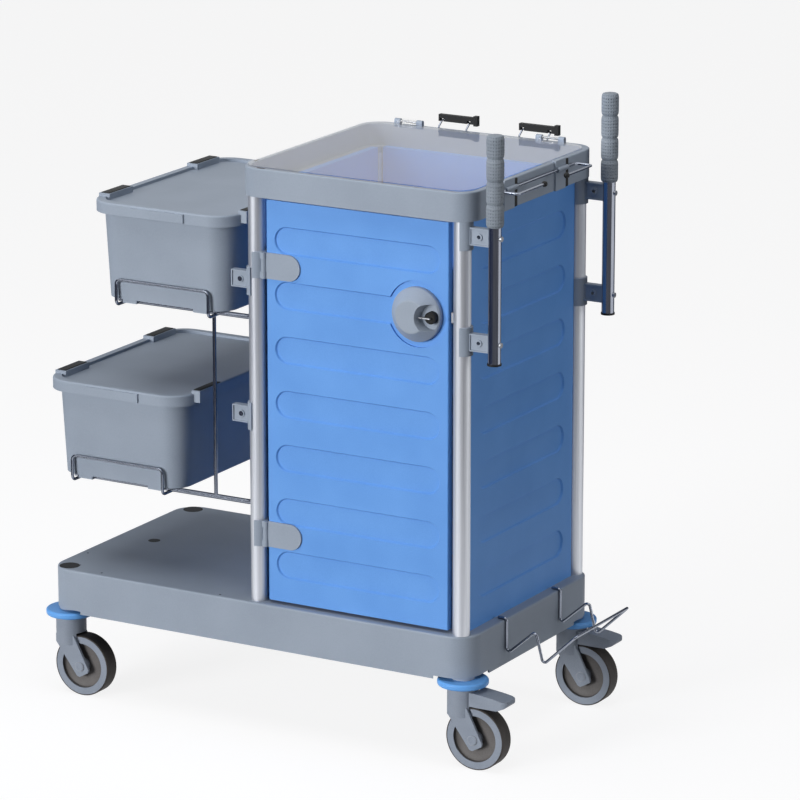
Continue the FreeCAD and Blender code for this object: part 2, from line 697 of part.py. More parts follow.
def placed(shape, angle, x, y):
    moved = shape.copy()
    moved.rotate(V(0, 0, 0), ALONG_Z, angle)
    moved.translate(V(x, y, 0))
    return moved


def door():
    width = DOOR_RIGHT_X - DOOR_LEFT_X
    panel = ribbed_panel(width, DECK_Z + DOOR_BOTTOM_GAP, FRAME_Z - DOOR_TOP_GAP, DOOR_RIB_MARGIN)
    panel = placed(panel, 0, (DOOR_LEFT_X + DOOR_RIGHT_X) / 2, DOOR_SETBACK)
    panel = panel.cut(rod_y(LOCK_X, DOOR_SETBACK, RECESS_Y, LOCK_Z, LOCK_RECESS_R))
    return panel.cut(rod_y(KEY_X, RECESS_Y, DOOR_BACK_Y, LOCK_Z, LOCK_SHAFT_R + RUN_FIT))


def side_panel(side):
    y0 = POST_Y["f"] + POST_R + PANEL_GAP
    y1 = POST_Y["r"] - POST_R - PANEL_GAP
    panel = ribbed_panel(y1 - y0, DECK_Z, LEDGE_Z, SIDE_RIB_MARGIN)
    if side == "r":
        return placed(panel, 90, -PANEL_SETBACK, (y0 + y1) / 2)
    return placed(panel, -90, PANEL_SETBACK - FRAME_LENGTH, (y0 + y1) / 2)


def back_panel():
    x0 = POST_X["l"] + POST_R + PANEL_GAP
    x1 = POST_X["r"] - POST_R - PANEL_GAP
    panel = ribbed_panel(x1 - x0, DECK_Z, LEDGE_Z, BACK_RIB_MARGIN)
    return placed(panel, 180, (x0 + x1) / 2, BACK_Y)


def shelf():
    inner = PANEL_SETBACK + PANEL_THICKNESS
    plate = block(inner - FRAME_LENGTH, -inner, SHELF_SETBACK, BACK_Y - PANEL_THICKNESS,
                  SHELF_Z, SHELF_Z + SHELF_THICKNESS)
    for side in "lr":
        plate = plate.cut(rod_z(POST_X[side], POST_Y["r"], SHELF_Z, SHELF_Z + SHELF_THICKNESS,
                                POST_R + SHELF_POST_GAP))
    return plate


# ---- door hinges ----
def hinge_strap(z):
    z0, z1 = z - HINGE_HEIGHT / 2, z + HINGE_HEIGHT / 2
    end_r = HINGE_HEIGHT / 2
    y0, y1 = DOOR_SETBACK - STRAP_THICKNESS, DOOR_SETBACK
    round_x = HINGE_X + HINGE_LENGTH - end_r
    plate = block(HINGE_X + STRAP_START, round_x, y0, y1, z0, z1)
    tip = rod_y(round_x, y0, y1, z, end_r)
    low, high = z - HINGE_MIDDLE_HALF, z + HINGE_MIDDLE_HALF
    neck = block(HINGE_X, HINGE_X + STRAP_START, y0, y1, low, high)
    knuckle = rod_z(HINGE_X, HINGE_AXIS_Y, low, high, HINGE_KNUCKLE_R)
    strap = fuse([plate, tip, neck, knuckle])
    return strap.cut(rod_z(HINGE_X, HINGE_AXIS_Y, low, high, HINGE_PIN_R + RUN_FIT))


def hinge_brackets():
    brackets = []
    x, y = POST_X["l"], POST_Y["f"]
    outer = POST_R + BRACKET_THICKNESS
    for z in HINGE_ZS:
        z0, z1 = z - HINGE_HEIGHT / 2, z + HINGE_HEIGHT / 2
        low, high = z - HINGE_MIDDLE_HALF, z + HINGE_MIDDLE_HALF
        gap = HINGE_KNUCKLE_GAP
        wrap = rod_z(x, y, z0, z1, outer).common(block(x, x + outer, y - outer, y + POST_R, z0, z1))
        pieces = [wrap]
        for start, end in ((z0, low - gap), (high + gap, z1)):
            pieces.append(rod_z(HINGE_X, HINGE_AXIS_Y, start, end, HINGE_KNUCKLE_R))
            arm = block(x + POST_R - 3.0, HINGE_X, HINGE_AXIS_Y - 2.0, HINGE_AXIS_Y + 2.5, start, end)
            pieces.append(arm)
        bracket = fuse(pieces).cut(rod_z(x, y, z0, z1, POST_R))
        bracket = bracket.cut(rod_z(HINGE_X, HINGE_AXIS_Y, z0, z1, HINGE_PIN_R))
        clear = HINGE_KNUCKLE_R + HINGE_KNUCKLE_GAP
        brackets.append(bracket.cut(rod_z(HINGE_X, HINGE_AXIS_Y, low - gap, high + gap, clear)))
    return Part.makeCompound(brackets)


def hinge_pins():
    pins = [rod_z(HINGE_X, HINGE_AXIS_Y, z - HINGE_HEIGHT / 2, z + HINGE_HEIGHT / 2, HINGE_PIN_R)
            for z in HINGE_ZS]
    for x in lid_hinge_xs():
        pins.append(rod_x(x - LID_HINGE_HALF, x + LID_HINGE_HALF, LID_PIVOT_Y, LID_PIVOT_Z, LID_PIN_R))
    return Part.makeCompound(pins)


# ---- lock ----
def lock_housing():
    dome = rod_y(LOCK_X, LOCK_FRONT_Y, RECESS_Y, LOCK_Z, LOCK_R)
    slope = LOCK_HEIGHT - LOCK_SHOULDER
    dome = dome.common(Part.makeCone(LOCK_R - LOCK_BEVEL, LOCK_R + LOCK_BEVEL * LOCK_SHOULDER / slope, LOCK_HEIGHT,
                                     V(LOCK_X, LOCK_FRONT_Y, LOCK_Z), V(0, 1, 0)))
    ridge = [e for e in dome.Edges if e.Closed and e.BoundBox.YMax < RECESS_Y - RUN_FIT]
    dome = dome.makeFillet(LOCK_EDGE_R, ridge)
    pocket = Part.makeCone(LOCK_POCKET_R, LOCK_POCKET_FLOOR_R, LOCK_POCKET_DEPTH,
                           V(KEY_X, LOCK_FRONT_Y, LOCK_Z), V(0, 1, 0))
    pocket = pocket.common(rod_y(LOCK_X, LOCK_FRONT_Y, POCKET_Y, LOCK_Z, LOCK_R - LOCK_POCKET_RIM))
    dome = dome.cut(pocket)
    dome = dome.cut(rod_y(KEY_X, POCKET_Y, POCKET_Y + BARREL_SEAT, LOCK_Z, BARREL_R + RUN_FIT))
    return dome.cut(rod_y(KEY_X, POCKET_Y, RECESS_Y, LOCK_Z, LOCK_SHAFT_R + RUN_FIT))


def lock_knob():
    front = POCKET_Y - BARREL_LENGTH
    back = DOOR_BACK_Y + CAM_GAP + CAM_THICKNESS
    barrel = rod_y(KEY_X, front, POCKET_Y + BARREL_SEAT - CAM_GAP, LOCK_Z, BARREL_R)
    shaft = rod_y(KEY_X, front, back, LOCK_Z, LOCK_SHAFT_R)
    half = KEY_THICKNESS / 2
    key = block(KEY_X - KEY_LENGTH, KEY_X + 2.0, front - KEY_WIDTH, front, LOCK_Z - half, LOCK_Z + half)
    return fuse([barrel, shaft, key])


def lock_cam():
    front = DOOR_BACK_Y + CAM_GAP
    back = front + CAM_THICKNESS
    half = CAM_WIDTH / 2
    eye = rod_y(KEY_X, front, back, LOCK_Z, LOCK_SHAFT_R + 4.0)
    arm = block(KEY_X - half, KEY_X + half, front, back, LOCK_Z, LOCK_Z + CAM_LENGTH)
    return fuse([eye, arm]).cut(rod_y(KEY_X, front, back, LOCK_Z, LOCK_SHAFT_R))


def lock_strike():
    x0 = DOOR_RIGHT_X + STRIKE_GAP
    y1 = DOOR_BACK_Y - CAM_GAP
    half = STRIKE_HEIGHT / 2
    plate = block(x0, x0 + STRIKE_WIDTH, y1 - STRIKE_DEPTH, y1, LOCK_Z - half, LOCK_Z + half)
    return plate.cut(rod_z(POST_X["r"], POST_Y["f"], LOCK_Z - half, LOCK_Z + half, POST_R))


# ---- push handles ----
def handle_tube(y):
    tube = rod_z(HANDLE_REACH, y, HANDLE_BOTTOM_Z, HANDLE_Z, HANDLE_R)
    tube = tube.cut(rod_z(HANDLE_REACH, y, HANDLE_BOTTOM_Z, HANDLE_Z, HANDLE_R - HANDLE_WALL))
    for z in HANDLE_CLAMP_ZS:
        tube = tube.cut(rod_x(HANDLE_REACH - HANDLE_R, HANDLE_REACH + HANDLE_R, y, z, SCREW_R + SEAT_FIT))
    return tube


def handle_grip(y):
    step = GRIP_LENGTH / GRIP_SEGMENTS
    profile = [(0, GRIP_Z), (GRIP_NECK_R, GRIP_Z)]
    for index in range(GRIP_SEGMENTS):
        z = GRIP_Z + index * step
        profile += [(GRIP_R, z + GRIP_TAPER), (GRIP_R, z + step - GRIP_TAPER), (GRIP_NECK_R, z + step)]
    profile += [(0, GRIP_Z + GRIP_LENGTH)]
    grip = turned_z(profile, HANDLE_REACH, y)
    grip = round_level_edges(grip, GRIP_Z + GRIP_LENGTH, GRIP_TOP_R)
    return grip.cut(rod_z(HANDLE_REACH, y, GRIP_Z, HANDLE_Z, HANDLE_R))


def handle_caps():
    caps = []
    for y in POST_Y.values():
        flange = rod_z(HANDLE_REACH, y, HANDLE_BOTTOM_Z - CAP_THICKNESS, HANDLE_BOTTOM_Z, CAP_R)
        plug = rod_z(HANDLE_REACH, y, HANDLE_BOTTOM_Z - CAP_THICKNESS, HANDLE_BOTTOM_Z + CAP_INSERT,
                     HANDLE_R - HANDLE_WALL - SEAT_FIT)
        caps.append(flange.fuse(plug))
    return Part.makeCompound(caps)


# ---- clamps ----
def half_collar(x, y, z, sign):
    outer = POST_R + CLAMP_THICKNESS
    z0, z1 = z - CLAMP_HEIGHT / 2, z + CLAMP_HEIGHT / 2
    inner = POST_INSET_X - PANEL_SETBACK + CLAMP_SIDE_GAP
    near, far = sorted((x + sign * inner, x + sign * (outer + 1)))
    return rod_z(x, y, z0, z1, outer).common(block(near, far, y - outer, y + outer, z0, z1))


def lug_plate(x0, x1, y, z, hole_x):
    half_y, half_z = LUG_THICKNESS / 2, LUG_HEIGHT / 2
    plate = block(x0, x1, y - half_y, y + half_y, z - half_z, z + half_z)
    near, far = x0 + LUG_RIM, x1 - LUG_RIM
    for face in (y - half_y, y + half_y - LUG_RIM):
        pan = block(near, far, face, face + LUG_RIM, z - half_z + LUG_RIM, z + half_z - LUG_RIM)
        plate = plate.cut(pan.cut(rod_y(hole_x, face, face + LUG_RIM, z, LUG_BOSS_R)))
    return plate


def handle_clamps():
    clamps = []
    x = POST_X["r"]
    tube_left = HANDLE_REACH - HANDLE_R
    hole_x = (x + POST_R + CLAMP_THICKNESS + tube_left) / 2
    for y in POST_Y.values():
        for z in HANDLE_CLAMP_ZS:
            lug = lug_plate(x + POST_R + CLAMP_THICKNESS - LUG_RIM, tube_left + LUG_RIM, y, z, hole_x)
            clamp = fuse([half_collar(x, y, z, 1), lug])
            z0, z1 = z - CLAMP_HEIGHT / 2, z + CLAMP_HEIGHT / 2
            clamp = clamp.cut(rod_z(x, y, z0, z1, POST_R))
            clamp = clamp.cut(rod_z(HANDLE_REACH, y, z0, z1, HANDLE_R))
            clamp = clamp.cut(rod_y(hole_x, y - LUG_THICKNESS / 2, y + LUG_THICKNESS / 2, z, LUG_HOLE_R))
            end = hole_x + LUG_HOLE_R + SCREW_END_GAP
            clamps.append(clamp.cut(rod_x(end, tube_left + LUG_RIM, y, z, SCREW_R + SEAT_FIT)))
    return Part.makeCompound(clamps)


def clamp_screws():
    screws = []
    tube_left = HANDLE_REACH - HANDLE_R
    tube_right = HANDLE_REACH + HANDLE_R
    hole_x = (POST_X["r"] + POST_R + CLAMP_THICKNESS + tube_left) / 2
    end = hole_x + LUG_HOLE_R + SCREW_END_GAP
    for y in POST_Y.values():
        for z in HANDLE_CLAMP_ZS:
            shank = rod_x(end, tube_right, y, z, SCREW_R)
            head = rod_x(tube_right - 1.0, tube_right + SCREW_HEAD_THICKNESS, y, z, SCREW_HEAD_R)
            head = head.cut(rod_z(HANDLE_REACH, y, z - SCREW_HEAD_R, z + SCREW_HEAD_R, HANDLE_R))
            screws.append(fuse([shank, head]))
    return Part.makeCompound(screws)


def rack_clamps():
    clamps = []
    x = POST_X["l"]
    rod_place = x - TIE_ROD_REACH
    for y in POST_Y.values():
        for z in RACK_CLAMP_ZS:
            lug = lug_plate(x - RACK_LUG_REACH, x - POST_R, y, z, rod_place)
            clamp = fuse([half_collar(x, y, z, -1), lug])
            clamp = clamp.cut(rod_z(x, y, z - CLAMP_HEIGHT / 2, z + CLAMP_HEIGHT / 2, POST_R))
            clamps.append(clamp.cut(rod_y(rod_place, y - LUG_THICKNESS / 2, y + LUG_THICKNESS / 2,
                                          z, TIE_ROD_R)))
    return Part.makeCompound(clamps)


# ---- wire rack ----
def bin_rack():
    post_x = POST_X["l"]
    tie_x = post_x - TIE_ROD_REACH
    hanger_x = post_x - HANGER_REACH
    upright_x = post_x - UPRIGHT_REACH
    rail_ys = (BIN_FRONT_Y + RAIL_INSET_Y, BIN_REAR_Y - RAIL_INSET_Y)
    half_lug = LUG_THICKNESS / 2
    pieces = []
    for z in RACK_CLAMP_ZS:
        pieces.append(rod_y(tie_x, POST_Y["f"] - half_lug, POST_Y["r"] + half_lug, z, TIE_ROD_R))
    for level, tie_z in ((0, RACK_CLAMP_ZS[1]), (1, RACK_CLAMP_ZS[0])):
        centre_x = BIN_CENTRE_X + level * BIN_STEP_X
        rail_z = RAIL_Z + level * BIN_STEP_Z
        end_x = centre_x - LOOP_WIDTH / 2 - LOOP_R - RAIL_OVERHANG
        for y in rail_ys:
            path = [V(hanger_x, y, tie_z + RAIL_R), V(hanger_x, y, rail_z), V(end_x, y, rail_z)]
            pieces.append(bent_wire(path, RAIL_R, RACK_BEND_R))
        low = rail_z - LOOP_OFFSET
        high = low + LOOP_HEIGHT
        front = BIN_FRONT_Y - LOOP_BIN_GAP - LOOP_R
        rear = BIN_REAR_Y + LOOP_BIN_GAP + LOOP_R
        x0, x1 = centre_x - LOOP_WIDTH / 2, centre_x + LOOP_WIDTH / 2
        middle = (front + rear) / 2
        for end in (front, rear):
            path = [V(x0, middle, low), V(x0, end, low), V(x0, end, high),
                    V(x1, end, high), V(x1, end, low), V(x1, middle, low)]
            pieces.append(bent_wire(path, LOOP_R, LOOP_BEND_R))
    for y in rail_ys:
        pieces.append(rod_z(upright_x, y, RAIL_Z, RAIL_Z + BIN_STEP_Z, UPRIGHT_R))
    return fuse(pieces)


# ---- bins ----
def bin_tub(x, z, inset, floor, top):
    half = BIN_WIDTH / 2 - inset
    y0, y1 = BIN_FRONT_Y + inset, BIN_REAR_Y - inset
    grow = BIN_DRAFT * (top - floor) / BIN_HEIGHT
    r = BIN_CORNER_R - inset
    lower = rounded_outline(x - half, x + half, y0, y1, z + floor, r)
    upper = rounded_outline(x - half - grow, x + half + grow, y0 - grow, y1 + grow, z + top, r + grow)
    return Part.makeLoft([lower, upper], True, True)


def bin_rim_span(x, extra):
    half = BIN_WIDTH / 2 + BIN_DRAFT + BIN_RIM_WIDTH + extra
    grow = BIN_DRAFT + BIN_RIM_WIDTH + extra
    return x - half, x + half, BIN_FRONT_Y - grow, BIN_REAR_Y + grow


def bin_body(x, z):
    top = z + BIN_HEIGHT
    rim = rounded_prism(*bin_rim_span(x, 0), top - BIN_RIM_HEIGHT, top, BIN_CORNER_R + BIN_DRAFT)
    feet = []
    side = BIN_WIDTH / 2 - FOOT_INSET_X
    for x0 in (x - side, x + side - FOOT_WIDTH):
        for y0 in (BIN_FRONT_Y + FOOT_INSET_Y, BIN_REAR_Y - FOOT_INSET_Y - FOOT_DEPTH):
            feet.append(block(x0, x0 + FOOT_WIDTH, y0, y0 + FOOT_DEPTH, z - FOOT_HEIGHT, z + BIN_FLOOR))
    body = fuse([bin_tub(x, z, 0, 0, BIN_HEIGHT), rim] + feet)
    return body.cut(bin_tub(x, z, BIN_WALL, BIN_FLOOR, BIN_HEIGHT))


def bin_lid(x, z):
    seat = z + BIN_HEIGHT
    gap, wall = LID_SKIRT_GAP, LID_SKIRT_WALL
    corner = BIN_CORNER_R + BIN_DRAFT
    low = seat - LID_SKIRT_DROP
    high = seat + LID_LIP_HEIGHT
    x0, x1, y0, y1 = bin_rim_span(x, gap + wall)
    lid = rounded_prism(x0, x1, y0, y1, low, high, corner + gap + wall)
    lid = round_level_edges(lid, high, LID_EDGE_R)
    lip = LID_LIP_WIDTH
    lid = lid.cut(rounded_prism(x0 + lip, x1 - lip, y0 + lip, y1 - lip, seat + LID_PLATE, high, corner - lip / 2))
    mid = (y0 + y1) / 2
    extras = []
    for y in (mid + PAD_SHIFT - PAD_OFFSET, mid + PAD_SHIFT + PAD_OFFSET):
        ends = y - PAD_LENGTH / 2, y + PAD_LENGTH / 2
        extras.append(block(x0 + REST_INSET, x0 + REST_INSET + REST_WIDTH, *ends, seat, seat + PAD_TOP))
        extras.append(block(x1 + LATCH_REACH - LATCH_WIDTH, x1 + LATCH_REACH, *ends,
                            seat - LATCH_DROP, seat + PAD_TOP))
    half = BAND_WIDTH / 2
    band_z = low + BAND_RISE
    extras.append(block(x - half, x + half, y0 - BAND_DEPTH, y0 + wall, band_z, band_z + BAND_HEIGHT))
    lid = fuse([lid] + extras)
    return lid.cut(rounded_prism(*bin_rim_span(x, gap), low, seat, corner + gap))


# ---- rear clips ----
def clip_starts():
    mid = FRAME_MID_X + CLIP_SHIFT
    return [mid - CLIP_OFFSET - CLIP_LENGTH / 2, mid + CLIP_OFFSET - CLIP_LENGTH / 2]


def clip_legs():
    legs = []
    for start in clip_starts():
        legs += [start + CLIP_LEG_LEFT, start + CLIP_LENGTH - CLIP_LEG_RIGHT]
    return legs


def clip_wires():
    wires = []
    foot_y = FRAME_WIDTH - CLIP_FOOT_INSET
    foot_z = FRAME_TOP_Z - CLIP_FOOT_DEPTH
    knee_z = FRAME_TOP_Z + CLIP_FOOT_RISE
    for start in clip_starts():
        x0, x1 = start + CLIP_LEG_LEFT, start + CLIP_LENGTH - CLIP_LEG_RIGHT
        path = [V(x0, foot_y, foot_z), V(x0, foot_y, knee_z), V(x0, CLIP_Y, CLIP_Z),
                V(x1, CLIP_Y, CLIP_Z), V(x1, foot_y, knee_z), V(x1, foot_y, foot_z)]
        wires.append(bent_wire(path, CLIP_WIRE_R, CLIP_BEND_R))
    return Part.makeCompound(wires)


def clip_jaw(start):
    end = start + CLIP_LENGTH
    y0, y1 = CLIP_Y - JAW_DEPTH / 2, CLIP_Y + JAW_DEPTH / 2
    bar = block(start, end, y0, y1, CLIP_Z - JAW_BELOW, CLIP_Z + JAW_ABOVE)
    heel = block(end - JAW_BLOCK, end, y0, y1, CLIP_Z - JAW_BELOW - JAW_BLOCK_EXTRA,
                 CLIP_Z + JAW_ABOVE + JAW_BLOCK_EXTRA)
    jaw = fuse([bar, heel])
    x0, x1 = start + CLIP_LEG_LEFT, end - CLIP_LEG_RIGHT
    jaw = jaw.cut(rod_x(x0, x1, CLIP_Y, CLIP_Z, CLIP_WIRE_R + RUN_FIT))
    jaw = jaw.cut(rod_x(x0 - JAW_SLOT_OUT, x0 + JAW_SLOT_IN, CLIP_Y, CLIP_Z, JAW_SLOT_R))
    return jaw.cut(rod_x(x1 - JAW_SLOT_IN, x1 + JAW_SLOT_OUT, CLIP_Y, CLIP_Z, JAW_SLOT_R))


# ---- bag rail ----
def rail_brackets():
    brackets = []
    half = RAIL_BRACKET_WIDTH / 2
    for y in RAIL_BRACKET_YS:
        y0, y1 = y - half, y + half
        plate = block(0, RAIL_BRACKET_PLATE, y0, y1, FRAME_Z, FRAME_TOP_Z + RAIL_BRACKET_TOP)
        hook = block(-RAIL_BRACKET_HOOK, RAIL_BRACKET_PLATE, y0, y1, FRAME_TOP_Z,
                     FRAME_TOP_Z + RAIL_BRACKET_TOP)
        barrel = rod_y(BAG_RAIL_X, y0, y1, BAG_RAIL_Z, RAIL_BARREL_R)
        bracket = fuse([plate, hook, barrel])
        brackets.append(bracket.cut(rod_y(BAG_RAIL_X, y0, y1, BAG_RAIL_Z, BAG_RAIL_R + RUN_FIT)))
    return Part.makeCompound(brackets)


def bag_rail():
    y0, y1 = BAG_RAIL_Y
    far = BAG_RAIL_X + BAG_RAIL_REACH
    z = BAG_RAIL_Z
    start, end = V(far, y0 + BAG_RAIL_RETURN, z), V(far, y1 - BAG_RAIL_RETURN, z)
    path = [start, V(far, y0, z), V(BAG_RAIL_X, y0, z), V(BAG_RAIL_X, y1, z), V(far, y1, z), end]
    wire = bent_wire(path, BAG_RAIL_R, BAG_RAIL_BEND_R)
    return fuse([wire, Part.makeSphere(BAG_NUB_R, start), Part.makeSphere(BAG_NUB_R, end)])


# ---- wire holder ----
def wire_holder():
    lean = HOLDER_WIRE_R + HOLDER_FACE_GAP
    top = DECK_Z + lean
    side = [(-HOLDER_HOOK, top), (lean, top), (lean, HOLDER_LOW_Z), HOLDER_CREST, HOLDER_TROUGH, HOLDER_END]
    y0, y1 = HOLDER_ARM_YS
    path = [V(x, y0, z) for x, z in side] + [V(x, y1, z) for x, z in reversed(side)]
    return bent_wire(path, HOLDER_WIRE_R, HOLDER_BEND_R)


# ---- write every piece ----
save("base_tray", base_tray())
save("deck_plugs", deck_plugs())
save("bumper_discs", bumper_discs())
save("caster_stems", caster_stems())
for row, side in CORNERS:
    tag = row + side
    wheel_x, wheel_y = CASTER_X[side], CASTER_Y[row]
    save("caster_fork_" + tag, caster_fork(wheel_x, wheel_y, side == "r"))
    save("caster_axle_" + tag, caster_axle(wheel_x, wheel_y))
    save("caster_hub_" + tag, caster_hub(wheel_x, wheel_y))
    save("caster_tyre_" + tag, caster_tyre(wheel_x, wheel_y))
    save("post_" + tag, post(POST_X[side], POST_Y[row]))
for row in "fr":
    save("brake_pedal_" + row + "r", brake_pedal(CASTER_X["r"], CASTER_Y[row]))
    save("handle_tube_" + row, handle_tube(POST_Y[row]))
    save("handle_grip_" + row, handle_grip(POST_Y[row]))
save("top_frame", top_frame())
save("top_lid", top_lid())
save("door", door())
save("side_panel_right", side_panel("r"))
save("side_panel_left", side_panel("l"))
save("back_panel", back_panel())
save("shelf", shelf())
save("hinge_strap_upper", hinge_strap(HINGE_ZS[0]))
save("hinge_strap_lower", hinge_strap(HINGE_ZS[1]))
save("hinge_brackets", hinge_brackets())
save("hinge_pins", hinge_pins())
save("lock_housing", lock_housing())
save("lock_knob", lock_knob())
save("lock_cam", lock_cam())
save("lock_strike", lock_strike())
save("handle_caps", handle_caps())
save("handle_clamps", handle_clamps())
save("rack_clamps", rack_clamps())
save("clamp_screws", clamp_screws())
save("bin_rack", bin_rack())
for level, word in enumerate(("lower", "upper")):
    bin_x = BIN_CENTRE_X + level * BIN_STEP_X
    bin_z = BIN_BOTTOM_Z + level * BIN_STEP_Z
    save("bin_body_" + word, bin_body(bin_x, bin_z))
    save("bin_lid_" + word, bin_lid(bin_x, bin_z))
save("clip_wires", clip_wires())
for word, start in zip(("left", "right"), clip_starts()):
    save("clip_jaw_" + word, clip_jaw(start))
save("rail_brackets", rail_brackets())
save("bag_rail", bag_rail())
save("wire_holder", wire_holder())
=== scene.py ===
import json
import math

import bmesh
import bpy
from mathutils import Matrix, Vector


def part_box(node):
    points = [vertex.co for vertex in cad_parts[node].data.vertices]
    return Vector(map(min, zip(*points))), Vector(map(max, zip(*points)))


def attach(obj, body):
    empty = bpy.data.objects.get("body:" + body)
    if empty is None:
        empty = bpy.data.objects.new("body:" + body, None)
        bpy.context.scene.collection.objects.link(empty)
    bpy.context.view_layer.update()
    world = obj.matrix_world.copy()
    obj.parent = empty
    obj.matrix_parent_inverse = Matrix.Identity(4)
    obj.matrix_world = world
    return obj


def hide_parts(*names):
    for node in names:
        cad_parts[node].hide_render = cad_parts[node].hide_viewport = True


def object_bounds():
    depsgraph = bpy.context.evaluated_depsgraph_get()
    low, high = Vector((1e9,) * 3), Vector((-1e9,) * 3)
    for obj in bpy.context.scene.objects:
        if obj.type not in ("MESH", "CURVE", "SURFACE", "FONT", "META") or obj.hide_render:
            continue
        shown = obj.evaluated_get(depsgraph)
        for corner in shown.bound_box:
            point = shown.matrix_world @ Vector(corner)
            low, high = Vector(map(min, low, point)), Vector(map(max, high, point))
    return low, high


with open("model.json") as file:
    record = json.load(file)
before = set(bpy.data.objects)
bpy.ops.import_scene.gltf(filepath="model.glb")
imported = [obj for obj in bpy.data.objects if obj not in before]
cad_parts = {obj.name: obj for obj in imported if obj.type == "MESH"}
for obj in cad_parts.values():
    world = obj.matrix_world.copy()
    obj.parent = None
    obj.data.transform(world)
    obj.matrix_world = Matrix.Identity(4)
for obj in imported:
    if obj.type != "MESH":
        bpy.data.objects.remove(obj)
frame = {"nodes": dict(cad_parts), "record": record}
cad_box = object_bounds()
nodes = frame["nodes"]
record = frame["record"]

MM = 0.001
UP = Vector((0, 0, 1))
ROWS = "fr"
SIDES = "lr"
CORNERS = [row + side for row in ROWS for side in SIDES]


# ---------------------------------------------------------------- small helpers
def linear(hex_colour, alpha=1.0):
    """An sRGB hex colour as the linear values that a shader socket takes."""
    channels = [int(hex_colour[i:i + 2], 16) / 255 for i in (1, 3, 5)]
    return tuple(c / 12.92 if c <= 0.04045 else ((c + 0.055) / 1.055) ** 2.4 for c in channels) + (alpha,)


def add(tree, kind, settings=None, inputs=None):
    """Adds one node with its settings; an input is a plain value or the socket that feeds it."""
    node = tree.nodes.new(kind)
    for name, value in (settings or {}).items():
        setattr(node, name, value)
    for name, value in (inputs or {}).items():
        if isinstance(value, bpy.types.NodeSocket):
            tree.links.new(value, node.inputs[name])
        else:
            node.inputs[name].default_value = value
    return node


def blank(data_block):
    """The empty node tree of a material or world."""
    data_block.use_nodes = True
    data_block.node_tree.nodes.clear()
    return data_block.node_tree


def two_tone(tree, value, dark, light, start, stop):
    """A ramp from a dark to a light shade; it keeps to the dark one below start and the light one above stop."""
    ramp = add(tree, "ShaderNodeValToRGB", inputs={"Fac": value})
    for element, position, colour in zip(ramp.color_ramp.elements, (start, stop), (dark, light)):
        element.position = position
        element.color = linear(colour)
    return ramp.outputs["Color"]


def seen_directly(tree):
    """1 for camera, glossy and transmission rays, so that they find a white background."""
    rays = add(tree, "ShaderNodeLightPath")
    seen = add(tree, "ShaderNodeMath", {"operation": "MAXIMUM"}, {
        0: rays.outputs["Is Camera Ray"], 1: rays.outputs["Is Glossy Ray"]})
    seen = add(tree, "ShaderNodeMath", {"operation": "MAXIMUM"}, {
        0: seen.outputs["Value"], 1: rays.outputs["Is Transmission Ray"]})
    return seen.outputs["Value"]


def centre_of(node):
    low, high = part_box(node)
    return (low + high) / 2


def finished(name, mesh, material, body, stands_for=()):
    """Links a mesh as a piece that moves with a body."""
    mesh.materials.clear()
    mesh.materials.append(material)
    piece = bpy.data.objects.new(name, mesh)
    bpy.context.scene.collection.objects.link(piece)
    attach(piece, body)
    if stands_for:
        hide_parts(*stands_for)
    return piece


def mesh_from(shape, name, smooth_angle=math.radians(35)):
    """Turns a bmesh into a mesh with soft shading, outward faces and crisp creases."""
    bmesh.ops.remove_doubles(shape, verts=shape.verts, dist=1e-6)
    bmesh.ops.recalc_face_normals(shape, faces=shape.faces)
    mesh = bpy.data.meshes.new(name)
    shape.to_mesh(mesh)
    shape.free()
    mesh.shade_smooth()
    mesh.set_sharp_from_angle(angle=smooth_angle)
    return mesh


def lathe(shape, profile, centre, axis, steps=64):
    """Turns (radius, height) points into a closed skin round an axis through centre."""
    turn = axis.to_track_quat("Z", "Y").to_matrix()
    rings = []
    for radius, height in profile:
        if radius < 1e-7:
            rings.append([shape.verts.new(centre + turn @ Vector((0, 0, height)))])
            continue
        ring = []
        for index in range(steps):
            angle = math.tau * index / steps
            ring.append(shape.verts.new(centre + turn @ Vector(
                (radius * math.cos(angle), radius * math.sin(angle), height))))
        rings.append(ring)
    for low, high in zip(rings, rings[1:]):
        for index in range(steps):
            following = (index + 1) % steps
            if len(low) == 1:
                shape.faces.new((low[0], high[index], high[following]))
            elif len(high) == 1:
                shape.faces.new((low[index], high[0], low[following]))
            else:
                shape.faces.new((low[index], high[index], high[following], low[following]))


def soft_block(shape, low, high, edge):
    """A block with rounded edges between two corners."""
    made = bmesh.ops.create_cube(shape, size=1.0)["verts"]
    size, middle = high - low, (high + low) / 2
    for vert in made:
        vert.co = Vector((vert.co.x * size.x, vert.co.y * size.y, vert.co.z * size.z)) + middle
    edges = list({e for v in made for e in v.link_edges})
    bmesh.ops.bevel(shape, geom=edges, offset=edge, segments=3, profile=0.5, affect="EDGES")


# ---------------------------------------------------------------- materials
def mottled(tree, coords, light, dark, patch_mm, speck_mm, speck):
    """Two close shades of one colour: slow patches from moulding and a fine speck."""
    patches = add(tree, "ShaderNodeTexNoise", inputs={
        "Vector": coords, "Scale": 1 / (patch_mm * MM), "Detail": 2.0})
    specks = add(tree, "ShaderNodeTexNoise", inputs={
        "Vector": coords, "Scale": 1 / (speck_mm * MM), "Detail": 1.0})
    blend = add(tree, "ShaderNodeMix", {"data_type": "FLOAT"}, {
        "Factor": speck, "A": patches.outputs["Fac"], "B": specks.outputs["Fac"]})
    return two_tone(tree, blend.outputs["Result"], dark, light, 0.35, 0.65), specks.outputs["Fac"]


